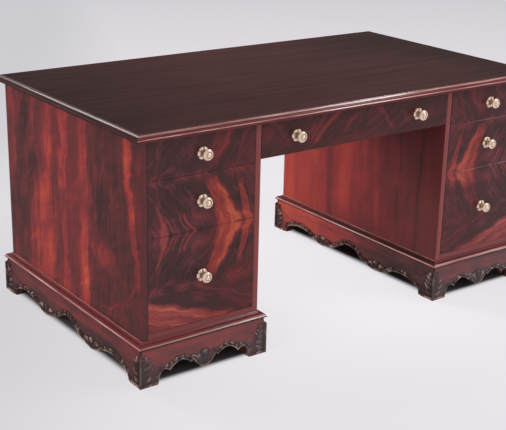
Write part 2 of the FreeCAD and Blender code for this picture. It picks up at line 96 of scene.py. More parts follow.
def smooth(value, low, high):
    """A soft step from 0 at low to 1 at high."""
    t = np.clip((value - low) / (high - low), 0, 1)
    return t * t * (3 - 2 * t)


def sawn_edge(scallops):
    """The lower edge from the board's middle to its corner, as close points."""
    edge = [scallops[0][:2]]
    for corner in scallops[1:]:
        end = corner[:2]
        count = max(2, round(math.dist(edge[-1], end) / EDGE_GAP))
        edge += bowed(edge[-1], end, corner[2], count if corner[1] or edge[-1][1] else 2)
    return np.array(edge)


def carved_places(scallops, edge):
    """The points of half a board's face, across and up, in columns that are closer over the foot."""
    half = scallops[-1][0]
    columns = np.unique(np.concatenate([
        np.arange(0, half, BOARD_GAP), [corner[0] for corner in scallops],
        np.arange(half - FOOT_WIDE, half, FOOT_GAP), [half],
    ]))
    columns = columns[np.concatenate([[True], np.diff(columns) > 0.4])]
    columns[-1] = half
    low = np.interp(columns, edge[:, 0], edge[:, 1])
    share = np.linspace(0, 1, ROWS) ** 1.12
    up = low[:, None] + (BOARD_TOP - low[:, None]) * share[None, :]
    return np.repeat(columns[:, None], ROWS, 1), up


RIM_RADIUS = 3
RIM_HIGH = 5.0
LEAF_PITCH = 17


def leafy_rim(edge, across, up):
    """The rolled rim along the scallops with leaf lobes above it, and where it is worked."""
    runs = np.concatenate([[0], np.cumsum(np.hypot(*np.diff(edge, axis=0).T))])
    gap = np.hypot(across[..., None] - edge[:, 0], up[..., None] - edge[:, 1])
    nearest = gap.argmin(-1)
    off = gap.min(-1)
    along = runs[nearest]
    hung = smooth(edge[nearest, 1], 4, 12)
    rim = RIM_HIGH * np.sqrt(np.clip(1 - ((off - RIM_RADIUS) / RIM_RADIUS) ** 2, 0, 1)) * hung
    lobe = np.abs(np.sin(math.pi * (along / LEAF_PITCH + 0.03 * off)))
    spread = 6 + 11 * lobe ** 0.8
    barbs = np.abs(np.sin(math.pi * (off / 6 + along / (2 * LEAF_PITCH))))
    leaves = smooth(spread - off, 0, 3) * (0.4 + 2.6 * lobe + 1.0 * barbs) * smooth(off, 5.5, 7.5) * hung
    return np.maximum(rim, leaves), smooth(spread + 8 - off, 0, 10) * hung


# Where each leaflet leaves the rib, and how long it is.
LEAFLETS = ((0, 50), (19, 57), (39, 54), (58, 45), (76, 34))
LEAFLET_RISE = math.radians(38)
LEAFLET_WIDE = 12.5


def leaf_foot(corner, up):
    """The leaf on a foot and where it is worked, by distance from the corner, so that two boards meet along
    their mitre. Each leaflet leaves the rib at a height, rises outward for its length and is notched."""
    leaf, worked = np.zeros_like(up), np.zeros_like(up)
    for root, length in LEAFLETS:
        along = corner * math.cos(LEAFLET_RISE) + (up - root) * math.sin(LEAFLET_RISE)
        aside = np.abs((up - root) * math.cos(LEAFLET_RISE) - corner * math.sin(LEAFLET_RISE))
        share = np.clip(along / length, 0, 1)
        notches = 1 + 0.17 * np.cos(0.7 * along)
        wide = 0.1 + LEAFLET_WIDE * np.sin(math.pi * share ** 0.75) ** 0.7 * notches
        dome = np.sqrt(np.clip(1 - (aside / wide) ** 2, 0, 1)) * (share > 0) * (share < 1)
        vein = 1.5 * np.exp(-(aside / 1.7) ** 2) + 0.8 * np.abs(np.sin(0.45 * (along - 1.3 * aside)))
        leaf = np.maximum(leaf, dome * (2.6 + 4 * smooth(share, 0.1, 0.8) - vein))
        near = smooth(wide + 7 - aside, 0, 7) * smooth(along, -4, 0) * smooth(length + 6 - along, 0, 6)
        worked = np.maximum(worked, near)
    rib = 6.8 * smooth(6 - corner, 0, 3.5) * smooth(108 - up, 0, 8)
    pad = smooth(9 - up, 0, 2.5) * smooth(66 - corner, 0, 4)
    relief = np.maximum.reduce([leaf, rib, 6 * pad])
    return relief, np.maximum.reduce([worked, smooth(9 - corner, 0, 4), pad])


def fan(across, up, middle, foot, wide, tall, ribs):
    """A fan of flutes that opens upward from the lobe that hangs at middle, and where it is worked."""
    x = (across - middle) / wide
    z = (up - foot) / tall
    far = np.hypot(x, z)
    flute = np.abs(np.cos(ribs * np.arctan2(x, z + 0.05)))
    inside = smooth(0.86 + 0.12 * flute - far, 0, 0.1)
    boss = 5.2 * np.sqrt(np.clip(1 - (far / 0.26) ** 2, 0, 1))
    relief = np.maximum(inside * (1.5 + 3.6 * flute * (0.35 + 0.65 * np.clip(far, 0, 1))), boss)
    return relief, smooth(1.05 - far, 0, 0.2)


def foot_wing(across, up, half, wing_from):
    """The low ground of a foot's leaf, which sweeps up from the scallops to the rib at the corner."""
    wing_to = half - 14
    sweep = np.interp(across, [wing_from, (wing_from + wing_to) / 2, wing_to, half], [52, 70, 105, 105])
    return 2.4 * smooth(sweep - up, 0, 6) * smooth(across - wing_from, 0, 8)


def carved_half(scallops, hung_fan, wing_from):
    """Half a board as columns from its middle to its corner: places, heights, reliefs, and where it is
    worked, hollow and raised.
    """
    half = scallops[-1][0]
    edge = sawn_edge(scallops)
    across, up = carved_places(scallops, edge)
    corner = half - across
    rim, rimmed = leafy_rim(edge, across, up)
    foot, leafed = leaf_foot(corner, up)
    flutes, fluted = fan(across, up, *hung_fan)
    relief = np.maximum.reduce([rim, foot_wing(across, up, half, wing_from), foot, flutes])
    ground = 0.6 * smooth(70 - corner, 0, 34) * smooth(92 - up, 0, 40)
    worked = np.maximum.reduce([rimmed, leafed, ground, fluted])
    around = relief.copy()
    for shift in (1, 2, 3):
        for axis in (0, 1):
            around = (around + np.roll(around, shift, axis) + np.roll(around, -shift, axis)) / 3
    hollow = np.clip((around - relief) / 1.6, 0, 1) * worked
    raised = np.clip((relief - around) / 1.2, 0, 1) * worked * (0.4 + 0.6 * smooth(corner, 3, 9))
    inward = (FOOT_FACE - BOARD_FACE - relief) * np.clip(1 - corner / 30, 0, 1)
    return across - inward, up, BOARD_FACE + relief, worked, hollow, raised


def carved_board(scallops, hung_fan, wing_from):
    """The whole board: points as (along, out, up), its faces, and where it is carved, hollow and raised."""
    half = carved_half(scallops, hung_fan, wing_from)
    both = [np.concatenate([np.flip(h, 0)[:-1] * (-1 if i == 0 else 1), h]) for i, h in enumerate(half)]
    across, up, out, *wear = both
    columns, rows = across.shape
    front = np.stack([across, out, up], -1).reshape(-1, 3)
    mitre = scallops[-1][0] - FOOT_FACE
    ends = np.clip(across[:, [0, -1]], -mitre, mitre)
    back = np.stack([ends, 0 * ends, up[:, [0, -1]]], -1).reshape(-1, 3)
    at = lambda c, r: c * rows + r
    behind = lambda c, r: columns * rows + 2 * c + r
    faces = []
    for c in range(columns - 1):
        faces += [(at(c, r), at(c + 1, r), at(c + 1, r + 1), at(c, r + 1)) for r in range(rows - 1)]
        faces.append((behind(c, 0), behind(c, 1), behind(c + 1, 1), behind(c + 1, 0)))
        faces.append((at(c, 0), behind(c, 0), behind(c + 1, 0), at(c + 1, 0)))
        faces.append((at(c, rows - 1), at(c + 1, rows - 1), behind(c + 1, 1), behind(c, 1)))
    for c in (0, columns - 1):
        faces.append([at(c, r) for r in range(rows)] + [behind(c, 1), behind(c, 0)])
    rest = np.zeros(len(back))
    return np.concatenate([front, back]), faces, [np.concatenate([part.ravel(), rest]) for part in wear]


# Points closer than this many metres are one point.
WELD = 1e-7


def piece(name, points, faces, finishes, pick=None, sharp=38, marks=()):
    """A mesh piece from points in millimetres, smooth but for its arrises. Points that fall together are
    joined, pick says which finish a face has, and marks are values on its points that a finish reads."""
    mesh = bpy.data.meshes.new(name)
    mesh.from_pydata((np.asarray(points) * MM).tolist(), [], faces)
    for mark, values in marks:
        mesh.attributes.new(mark, "FLOAT", "POINT").data.foreach_set("value", values)
    shape = bmesh.new()
    shape.from_mesh(mesh)
    bmesh.ops.remove_doubles(shape, verts=shape.verts, dist=WELD)
    shape.faces.index_update()
    bmesh.ops.recalc_face_normals(shape, faces=shape.faces)
    for face in shape.faces:
        face.smooth = True
        if pick:
            face.material_index = pick(face)
    shape.to_mesh(mesh)
    shape.free()
    mesh.set_sharp_from_angle(angle=math.radians(sharp))
    for finish in finishes:
        mesh.materials.append(finish)
    made = bpy.data.objects.new(name, mesh)
    bpy.context.scene.collection.objects.link(made)
    return made


class Wire:
    """A socket of a finish. Sums, products and the like of wires add their Math nodes."""

    def __init__(self, socket):
        self.socket = socket

    def node(self, kind, settings=None, sockets=None, out=0):
        """Any node, by its type, its settings, its sockets' values or wires, and which output is wanted."""
        tree = self.socket.id_data
        made = tree.nodes.new("ShaderNode" + kind)
        for name, value in (settings or {}).items():
            if name == "stops":
                stops = made.color_ramp.elements
                while len(stops) < len(value):
                    stops.new(1)
                for stop, (where, colour) in zip(stops, value):
                    stop.position = where
                    stop.color = colour
            else:
                setattr(made, name, value)
        for name, value in (sockets or {}).items():
            if isinstance(value, Wire):
                tree.links.new(value.socket, made.inputs[name])
            else:
                made.inputs[name].default_value = value
        return Wire(made.outputs[out])

    def maths(self, operation, *values):
        """A Math node on wires and numbers."""
        return self.node("Math", {"operation": operation}, dict(enumerate(values)))

    def __add__(self, other):
        return self.maths("ADD", self, other)

    __radd__ = __add__

    def __sub__(self, other):
        return self.maths("SUBTRACT", self, other)

    def __rsub__(self, other):
        return self.maths("SUBTRACT", other, self)

    def __mul__(self, other):
        return self.maths("MULTIPLY", self, other)

    __rmul__ = __mul__

    def __pow__(self, other):
        return self.maths("POWER", self, other)

    def __abs__(self):
        return self.maths("ABSOLUTE", self)

    def parts(self):
        """The X, Y and Z of a vector."""
        split = self.node("SeparateXYZ", None, {0: self}).socket.node
        return [Wire(part) for part in split.outputs]

    def joined(self, *parts):
        """A vector from wires or numbers."""
        return self.node("CombineXYZ", None, dict(enumerate(parts)))

    def times(self, scale):
        """A vector scaled along each axis."""
        return self.node("VectorMath", {"operation": "MULTIPLY"}, {0: self, 1: scale})

    def noise(self, detail=2.0, roughness=0.5):
        """Soft noise over a vector, around 0.5."""
        return self.node("TexNoise", None, {
            "Vector": self, "Scale": 1.0, "Detail": detail, "Roughness": roughness,
        })

    def step(self, low, high):
        """A soft step from 0 at low to 1 at high."""
        return self.node("MapRange", {"interpolation_type": "SMOOTHSTEP"}, {
            "Value": self, "From Min": low, "From Max": high,
        })

    def mixed(self, low, high):
        """The colour between low at 0 and high at 1."""
        return self.node("Mix", {"data_type": "RGBA"}, {0: self, 6: low, 7: high}, 2)

    def ramp(self, stops):
        """The colour in a range of colours."""
        return self.node("ValToRGB", {"stops": stops}, {0: self})


def shade(red, green, blue):
    """A colour written as 0 to 255 per channel, as light values."""
    parts = [v / 255 for v in (red, green, blue)]
    return tuple(v / 12.92 if v < 0.04045 else ((v + 0.055) / 1.055) ** 2.4 for v in parts) + (1.0,)


def surface(name, figure, coat=0.16, specular=0.0, blur=0.16):
    """A finish: figure gives its colour, its roughness and its fine relief from the place on the desk."""
    made = bpy.data.materials.new(name)
    made.use_nodes = True
    nodes = made.node_tree.nodes
    shader = nodes["Principled BSDF"]
    place = Wire(nodes.new("ShaderNodeTexCoord").outputs["Object"])
    colour, roughness, height = figure(place)
    bump = place.node("Bump", None, {"Strength": 0.35, "Distance": 0.0004, "Height": height})
    for socket, value in (("Base Color", colour), ("Roughness", roughness), ("Normal", bump)):
        made.node_tree.links.new(value.socket, shader.inputs[socket])
    shader.inputs["Specular IOR Level"].default_value = specular
    shader.inputs["Coat Weight"].default_value = coat
    shader.inputs["Coat Roughness"].default_value = blur
    return made


MAHOGANY = (
    (0.0, shade(46, 31, 29)), (0.2, shade(74, 44, 42)), (0.42, shade(110, 49, 50)),
    (0.62, shade(143, 57, 54)), (0.8, shade(167, 69, 54)), (1.0, shade(192, 92, 66)),
)


def grain(place, axis, wander=0.012):
    """Stripes of the wood along one axis: broad bands, fine lines and open pores, each 0 to 1."""
    far = place.times(tuple(1.4 if k == axis else 5.0 for k in range(3))).noise(1.0)
    slip = (far - 0.5) * wander
    parts = enumerate(place.parts())
    moved = place.joined(*(part if k == axis else part + slip for k, part in parts))
    stretch = lambda along, across: moved.times(tuple(along if k == axis else across for k in range(3)))
    broad = stretch(1.6, 34).noise(2.0)
    fine = stretch(5, 210).noise(4.0, 0.7)
    pores = stretch(38, 950).noise(1.0)
    return broad, fine, pores


def plain_mahogany(axis, level, spread=0.5):
    """Straight-grained mahogany at a level of the colour range."""
    def figure(place):
        broad, fine, pores = grain(place, axis)
        tone = level + (broad - 0.5) * spread + (fine - 0.5) * (0.6 * spread)
        colour = (tone - pores.step(0.56, 0.72) * 0.14).ramp(MAHOGANY)
        return colour, 0.3 + pores * 0.14, pores.step(0.68, 0.5)
    return figure


CARVING_MARKS = ("worked", "hollow", "raised")


def carved_mahogany(axis, level, fade=0.0):
    """A plinth board: plain red wood, and carving that is dark where it is worked, near black with painted
    shade in its hollows, and brown where its high points are worn, with painted glints on them. A front board
    gets darker to the right by its fade, and a side board to the front; on the kneehole's boards that is
    painted shade."""
    def figure(place):
        broad, fine, pores = grain(place, axis)
        tone = level + (broad - 0.5) * 0.5 + (fine - 0.5) * 0.3 - pores.step(0.56, 0.72) * 0.12
        worked, hollow, raised = (
            place.node("Attribute", {"attribute_name": mark}, None, 2) for mark in CARVING_MARKS
        )
        x, y, z = place.parts()
        tone = tone + (place.times((9, 9, 18)).noise(3.0).step(0.34, 0.66) - 0.5) * 0.15
        if axis == 0:
            tone = tone - x.step(0.1, 0.6) * y.step(0.1, -0.1) * fade
        elif fade:
            tone = tone - y.step(0.3, -0.3) * fade
        board = (tone - z.step(0.09, 0.02) * 0.16).ramp(MAHOGANY)
        dust = place.times((120, 120, 120)).noise(3.0)
        lit = place.times((38, 38, 38)).noise(2.0).step(0.42, 0.62)
        colour = (worked * (0.7 + dust * 0.3)).mixed(board, shade(40, 28, 27))
        # Painted shade: the carving's hollows go near black.
        colour = (hollow * 0.75).mixed(colour, shade(20, 15, 15))
        colour = (raised * 0.4).mixed(colour, shade(108, 70, 62))
        # Painted highlight: pale glints on the high points, where lit says.
        colour = (raised * lit * 0.5).mixed(colour, shade(196, 168, 156))
        return colour, 0.36 - worked * 0.1 + pores * 0.1 + hollow * 0.3, pores.step(0.68, 0.5)
    return figure


board_x = surface("plinth mahogany along the front", carved_mahogany(0, 0.56, 0.16), coat=1.0)
board_y = surface("plinth mahogany along the side", carved_mahogany(1, 0.33), coat=0.25)
# The kneehole's boards are painted lighter than the others, as painted light, and their fade is painted shade
# toward the front of the kneehole.
board_in = surface("plinth mahogany of the kneehole", carved_mahogany(1, 0.74, 0.56), coat=0.3)
front_board = carved_board(FRONT_SCALLOPS, FRONT_FAN, FRONT_WING)
side_board = carved_board(SIDE_SCALLOPS, SIDE_FAN, SIDE_WING)
for side, sign in SIDES.items():
    for where, (points, faces, wear), wood in (
        ("front", front_board, board_x), ("back", front_board, board_x),
        ("outer_side", side_board, board_y), ("inner_side", side_board, board_in),
    ):
        along, out, up = points.T
        if where in ("front", "back"):
            to = -1 if where == "front" else 1
            out_y = PLINTH_DEEP - FOOT_FACE + out
            placed = np.stack([sign * PLINTH_MIDDLE + along, to * out_y, up], -1)
        else:
            out_x = PLINTH_OUT - FOOT_FACE + out if where == "outer_side" else PLINTH_IN + FOOT_FACE - out
            placed = np.stack([sign * out_x, along, up], -1)
        node = f"{side}_plinth_{where}"
        board = piece(node + "_carved", placed, faces, [wood], marks=zip(CARVING_MARKS, wear))
        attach(board, "desk")
        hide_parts(node)


# Plinth mouldings
# A cyma-and-fillet moulding of solid mahogany runs round each plinth in four mitred lengths, glued on the
# boards and against the pedestal. Its nose is rubbed pale along the arris and carries a painted highlight
# there.
def framed(name, box, profile, along, others):
    """A moulding in four mitred lengths round a rectangle, from its section as (in from the edge, up). Along
    has the finishes of the lengths along X and along Y, and others those of single runs of a length."""
    x0, x1, y0, y1 = box
    points = []
    for x, y, dx, dy in ((x0, y0, 1, 1), (x1, y0, -1, 1), (x1, y1, -1, -1), (x0, y1, 1, -1)):
        points += [(x + dx * inward, y + dy * inward, up) for inward, up in profile]
    count = len(profile)
    at = lambda corner, run: corner % 4 * count + run % count
    faces = [
        (at(k, i), at(k, i + 1), at(k + 1, i + 1), at(k + 1, i)) for k in range(4) for i in range(count)
    ]
    finishes = list(dict.fromkeys([*along, *others.values()]))

    def finish_of(face):
        length, run = divmod(face.index, count)
        return finishes.index(others.get((run, length % 2), along[length % 2]))

    return piece(name, points, faces, finishes, finish_of, sharp=28)


def worn_and_shaded_edge(axis, level):
    """Mahogany rubbed a little lighter and smoother where hands and cloths reach it. The lengths along the
    kneehole are darkened toward the front with painted shade."""
    def figure(place):
        broad, fine, pores = grain(place, axis)
        rubbed = place.times((9, 9, 60)).noise(3.0).step(0.45, 0.75)
        tone = level + (broad - 0.5) * 0.34 + (fine - 0.5) * 0.24 + rubbed * 0.1
        if axis == 1:
            x, y = place.parts()[:2]
            # Painted shade toward the front of the kneehole.
            tone = tone - abs(x).step(0.5, 0.4) * y.step(0.3, -0.3) * 0.2
        tone = tone - pores.step(0.56, 0.72) * 0.08
        return tone.ramp(MAHOGANY), 0.32 - rubbed * 0.1 + pores * 0.1, pores.step(0.7, 0.5)
    return figure


def rubbed_and_highlit_arris(axis, dull, bright):
    """A sharp edge rubbed pale by a century of dusting, and made brighter still as a painted highlight."""
    def figure(place):
        rubbed = place.times(tuple(8 if k == axis else 260 for k in range(3))).noise(3.0).step(0.3, 0.68)
        fine = place.times((340, 340, 340)).noise(2.0)
        return rubbed.mixed(dull, bright), 0.24 + fine * 0.1, fine
    return figure


moulding_x = surface("moulding mahogany along the front", worn_and_shaded_edge(0, 0.41), coat=0.7)
moulding_y = surface("moulding mahogany along the side", worn_and_shaded_edge(1, 0.38), coat=0.2)
RUBBED_AND_HIGHLIT = (shade(138, 84, 78), shade(200, 158, 148))
DULL = (shade(104, 56, 52), shade(164, 116, 108))
arris_x = surface("rubbed and highlit arris along the front", rubbed_and_highlit_arris(0, *RUBBED_AND_HIGHLIT), coat=0.8, blur=0.12)
arris_y = surface("rubbed and highlit arris along the side", rubbed_and_highlit_arris(1, *RUBBED_AND_HIGHLIT), coat=0.8, blur=0.12)
dull_arris = surface("dull arris", rubbed_and_highlit_arris(1, *DULL), coat=0.6, blur=0.12)
# Painted shadow: the fillet under the plinth moulding's nose is made near black, as the overhang's shadow.
nose_shadow = surface("painted shadow under the nose", worn_and_shaded_edge(0, 0.06), coat=0.1)
plinth_section = (
    [(44, BOARD_TOP), (0.8, BOARD_TOP), (0, 121), (0, 124.3), (2.9, 127.2)]
    + bowed((2.9, 127.2), (11, 132), 1.5, 8)
    + bowed((11, 132), (20, 136.6), -1.6, 6) + [(20.2, 137.4), (21.8, 139), (44, 139)]
)
nose_face = plinth_section.index((0, 121))
nose = plinth_section.index((0, 124.3))
crown = plinth_section.index((20.2, 137.4))
HIGHLIT_RUNS = 5
for side, sign in SIDES.items():
    x0, x1 = sorted((sign * PLINTH_OUT, sign * PLINTH_IN))
    arrises = {(nose, 0): arris_x, (nose, 1): arris_y, (crown, 1): dull_arris, (nose_face, 0): nose_shadow}
    # At the front of the right pedestal a painted highlight, in the rubbed arris's finish, reaches up the
    # moulding's curve.
    if side == "right":
        arrises.update({(nose + run, 0): arris_x for run in range(HIGHLIT_RUNS)})
    ring = framed(
        f"{side}_plinth_moulding_run", (x0, x1, -PLINTH_DEEP, PLINTH_DEEP), plinth_section,
        (moulding_x, moulding_y), arrises,
    )
    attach(ring, "desk")
    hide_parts(f"{side}_plinth_moulding")


# Pedestal sides
# Side panels tongued into the posts and veneered over both with flame-figured mahogany, so that the
# figure runs on to the corners. Bright tongues of flame stand upright on a brown-red ground.
def blotch(across, up, frayed, middle, reach, strength):
    """A patch of lighter or darker figure on a panel, in millimetres, with frayed edges."""
    wide = (across - middle[0] * MM) * (1000 / reach[0])
    tall = (up - middle[1] * MM) * (1000 / reach[1])
    return (wide * wide + tall * tall + frayed).step(1.35, 0.35) * strength


def streak(across, up, start, end, width, bow, strength, taper=1.2, crisp=0.6):
    """A tongue of flame on a panel, in millimetres: a point at start, widening to end, bowed sideways."""
    length = math.dist(start, end)
    to = [(end[k] - start[k]) / length for k in (0, 1)]
    along = (across * to[0] + up * to[1]) * (1000 / length) - (start[0] * to[0] + start[1] * to[1]) / length
    away = across * -to[1] + up * to[0] - (start[1] * to[0] - start[0] * to[1]) * MM
    if bow:
        away = away - along * (1 - along) * (4 * bow * MM)
    body = (abs(away) * (1 + taper - along * taper)).step(width * MM, width * crisp * MM)
    return body * along.step(-0.1, 0.1) * along.step(1.08, 0.9) * strength


# Half the depth of the top, in metres.
HALF_DEEP = 0.457
# Start, end, width, bow and strength of each tongue, from the front of the top and from the floor.
SIDE_TONGUES = (
    ((46, 290), (112, 780), 34, -8, 0.26), ((88, 480), (110, 780), 36, 0, 0.2),
    ((356, 800), (372, 90), 46, 0, 0.15), ((362, 420), (366, 90), 38, 0, 0.2),
    ((492, 460), (488, 790), 44, 0, 0.26), ((486, 420), (490, 90), 32, 0, 0.24),
    ((596, 520), (572, 780), 32, 6, 0.12), ((612, 740), (630, 430), 70, -8, 0.13),
    ((640, 480), (660, 40), 150, 8, 0.32), ((700, 560), (690, 750), 24, 0, 0.14),
    ((844, 460), (838, 790), 40, 0, 0.14),
)
SIDE_VEINS = (
    ((100, 252), (52, 312), 13, 0, 0.22), ((256, 158), (150, 206), 15, 0, 0.18),
    ((210, 498), (148, 578), 12, -4, 0.13), ((770, 440), (716, 496), 12, 0, 0.12),
    ((748, 230), (694, 268), 14, 0, 0.14), ((268, 584), (218, 646), 13, 0, 0.1),
    ((430, 176), (296, 254), 14, 0, 0.1), ((182, 258), (116, 304), 12, 3, 0.08),
    ((306, 414), (258, 476), 11, 0, 0.08),
)
# Middle, reach and strength of each patch.
SIDE_PATCHES = (
    ((244, 335), (62, 40), 0.32), ((615, 598), (60, 42), 0.16), ((250, 490), (46, 80), -0.09),
    ((700, 480), (42, 80), -0.1), ((750, 640), (38, 80), -0.08), ((172, 610), (30, 60), -0.07),
    ((110, 648), (24, 46), 0.1), ((790, 330), (80, 90), -0.05),
)


def side_figure(place):
    """Upright flames with feathered edges, slanting veins, and patches, on a mottled ground."""
    x, y, z = place.parts()
    broad, fine, pores = grain(place, 2, 0.03)
    ripple = place.joined((z + y * 0.4) * 40, y * 9).noise(1.5)
    sway = (place.times((3, 9, 6)).noise(3.0) - 0.5) * 0.05
    ragged = (place.times((3, 30, 14)).noise(4.0, 0.6) - 0.5) * 0.05
    curl = y + sway + ragged
    feather = place.joined(curl * 74, z * 7).noise(3.0).step(0.3, 0.7)
    hair = place.joined(curl * 360, z * 22).noise(2.0)
    across = curl + HALF_DEEP + (broad - 0.5) * 0.03 + (ripple - 0.5) * 0.02
    up = z + sway + (hair - 0.5) * 0.05
    frayed = (broad - 0.5) * 1.2 + (feather - 0.5) * 1.2 + (hair - 0.5) * 0.6
    figure = 0.0
    for tongue in SIDE_TONGUES:
        figure = streak(across, up, *tongue, taper=0.5, crisp=0.35) + figure
    for vein in SIDE_VEINS:
        figure = streak(y + HALF_DEEP + sway, z + sway, *vein, taper=1.0, crisp=0.15) + figure
    for patch in SIDE_PATCHES:
        figure = blotch(across, up, frayed, *patch) + figure
    redder = across.step(0.26, 0.36) * across.step(0.72, 0.56) * 0.13
    mottle = (ripple - 0.5) * 0.5
    clouds = place.joined(y * 16, (z + y * 0.5) * 11, x * 3).noise(4.0).step(0.42, 0.66)
    tone = 0.24 + redder + clouds * 0.12 + figure * (0.64 + feather * 0.4 + mottle * 0.6) + mottle * 0.24
    tone = tone + (broad - 0.5) * 0.14 + (fine - 0.5) * 0.08 + (feather - 0.5) * 0.1 + (hair - 0.5) * 0.14
    colour = (tone - pores.step(0.56, 0.72) * 0.1).ramp(MAHOGANY)
    return colour, 0.28 + pores * 0.12, pores.step(0.68, 0.5)


KNEEHOLE_TONGUES = (
    ((846, 120), (838, 720), 46, 0, 0.1), ((700, 330), (716, 730), 40, 0, 0.08),
    ((604, 120), (612, 720), 34, 0, -0.12), ((520, 180), (496, 730), 76, 8, 0.14),
    ((410, 420), (398, 730), 46, 0, 0.09), ((330, 160), (352, 620), 26, -6, 0.07),
    ((228, 130), (236, 700), 12, 0, -0.1), ((120, 560), (128, 140), 22, 0, -0.08),
)


def inner_figure(place):
    """Soft upright stripes, redder and lighter to the back of the kneehole, with painted shade toward its
    front.
    """
    x, y, z = place.parts()
    broad, fine, pores = grain(place, 2, 0.02)
    sway = (place.times((3, 9, 4)).noise(3.0) - 0.5) * 0.06
    clouds = place.joined(y * 9, z * 5, x * 3).noise(4.0, 0.6) - 0.5
    across = y + HALF_DEEP + sway
    # Painted shade: the veneer darkens toward the front of the kneehole.
    deep = (y + clouds * 0.3).step(-0.36, 0.36)
    tone = 0.33 + deep * 0.33 + clouds * 0.3 + (broad - 0.5) * 0.18 + (fine - 0.5) * 0.16
    for tongue in KNEEHOLE_TONGUES:
        tone = tone + streak(across, z + sway, *tongue, taper=0.5, crisp=0.1)
    colour = (tone - pores.step(0.56, 0.72) * 0.1).ramp(MAHOGANY)
    return colour, 0.3 + pores * 0.12, pores.step(0.68, 0.5)


def dress(node, finish):
    """Gives a solid of the frame its finish."""
    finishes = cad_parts[node].data.materials
    finishes.clear()
    finishes.append(finish)


side_veneer = surface("flame veneer of the outer sides", side_figure)
inner_veneer = surface("striped veneer of the kneehole sides", inner_figure)
for side in SIDES:
    dress(f"{side}_outer_side", side_veneer)
    dress(f"{side}_inner_side", inner_veneer)


# Corner posts
# Posts of straight-grained mahogany stand on the plinth at each corner of a pedestal. Their front and
# back faces are bare, the others carry the sides' veneer, and the corners are eased.
POST_OUT = 796
POST_IN = 383
POST_WIDE = 20
POST_DEEP = 40
POST_TOP = 737
FRONT_FACE = 433
POST_EASING = (2.2, 0, 0, 1)


def rounded(corners, radius, count=4):
    """A plan outline in which each corner is rounded by its own radius."""
    points = []
    for k, corner in enumerate(corners):
        if radius[k] == 0:
            points.append(corner)
            continue
        here = Vector(corner)
        into = (Vector(corners[k - 1]) - here).normalized() * radius[k]
        on = (Vector(corners[(k + 1) % len(corners)]) - here).normalized() * radius[k]
        turns = [i / count * math.pi / 2 for i in range(count + 1)]
        points += [tuple(here + into * (1 - math.sin(t)) + on * (1 - math.cos(t))) for t in turns]
    return points


def skin(count, rings):
    """Faces of a closed skin over rings that each have count points."""
    at = lambda ring, i: ring * count + i % count
    faces = []
    for ring in range(rings - 1):
        faces += [(at(ring, i), at(ring, i + 1), at(ring + 1, i + 1), at(ring + 1, i)) for i in range(count)]
    return faces + [tuple(at(ring, i) for i in range(count)) for ring in (0, rings - 1)]


post_wood = surface("straight mahogany of the outer posts", plain_mahogany(2, 0.34, 0.3), coat=0.5)
# The kneehole posts are a lighter copy of the outer posts' wood, as a painted highlight.
lit_knee_post_wood = surface("straight mahogany of the kneehole posts", plain_mahogany(2, 0.6, 0.3), coat=1.0)
post_finishes = [post_wood, lit_knee_post_wood, side_veneer, inner_veneer]


def post_side(face):
    """Which finish a post's face has: bare or veneered, on an outer post or beside the kneehole."""
    at_knee = abs(face.calc_center_median().x) * 1000 < PLINTH_MIDDLE
    veneered = abs(face.normal.x) > 0.7
    return at_knee + 2 * veneered


for side, sign in SIDES.items():
    points, faces = [], []
    for out_x, in_x in ((POST_OUT, POST_OUT - POST_WIDE), (POST_IN, POST_IN + POST_WIDE)):
        for to in (-1, 1):
            out_y, in_y = to * FRONT_FACE, to * (FRONT_FACE - POST_DEEP)
            plan = [(sign * x, y) for x, y in ((out_x, out_y), (out_x, in_y), (in_x, in_y), (in_x, out_y))]
            outline = rounded(plan, POST_EASING)
            faces += [tuple(i + len(points) for i in face) for face in skin(len(outline), 2)]
            points += [(x, y, z) for z in (BOARD_TOP, POST_TOP) for x, y in outline]
    posts = piece(f"{side}_posts", points, faces, post_finishes, post_side)
    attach(posts, "desk")
    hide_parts(f"{side}_corner_posts")


# Carcass rails, backs and bottoms
# Mahogany rails show under the lowest drawers and at the back of the kneehole, and the back panels are
# plain mahogany. The rails, boards, runners and glue blocks inside are a paler lining wood, left bare.
rail_wood = surface("rail mahogany", plain_mahogany(0, 0.58, 0.5), coat=0.8)
back_wood = surface("back panel mahogany", plain_mahogany(2, 0.26, 0.44))
back_rail_wood = surface("back rail mahogany", plain_mahogany(0, 0.3, 0.4))
LINING = (
    (0.0, shade(92, 62, 42)), (0.45, shade(140, 101, 68)), (0.75, shade(170, 130, 90)),
    (1.0, shade(190, 152, 110)),
)


def lining(axis):
    """Bare lining wood with its grain along one axis."""
    def figure(place):
        broad, fine, pores = grain(place, axis)
        tone = 0.55 + (broad - 0.5) * 0.6 + (fine - 0.5) * 0.5 - pores.step(0.58, 0.72) * 0.2
        return tone.ramp(LINING), 0.55 + pores * 0.2, pores.step(0.68, 0.45)
    return figure


lining_y = surface("lining wood front to back", lining(1), coat=0.0, specular=0.2)
lining_x = surface("lining wood side to side", lining(0), coat=0.0, specular=0.2)
dress("kneehole_top_rail", lining_x)
dress("kneehole_back_rail", back_rail_wood)
dress("centre_runners", lining_y)
dress("plinth_corner_blocks", lining_x)
for side in SIDES:
    dress(f"{side}_bottom_rail", rail_wood)
    dress(f"{side}_back_panel", back_wood)
    dress(f"{side}_bottom_board", lining_y)
    dress(f"{side}_drawer_rails", lining_x)
    dress(f"{side}_drawer_runners", lining_y)


# Drawer fronts
# Solid mahogany fronts faced with crotch veneer, the sheets matched about the joints between drawers,
# so that feathers of orange flame meet in chevrons. The veneer's edges are eased.

# Half the length of the top and the heights of the joints between the drawers, in metres.
HALF_LONG = 0.82
LOWER_JOINT = 0.45
UPPER_JOINT = 0.62
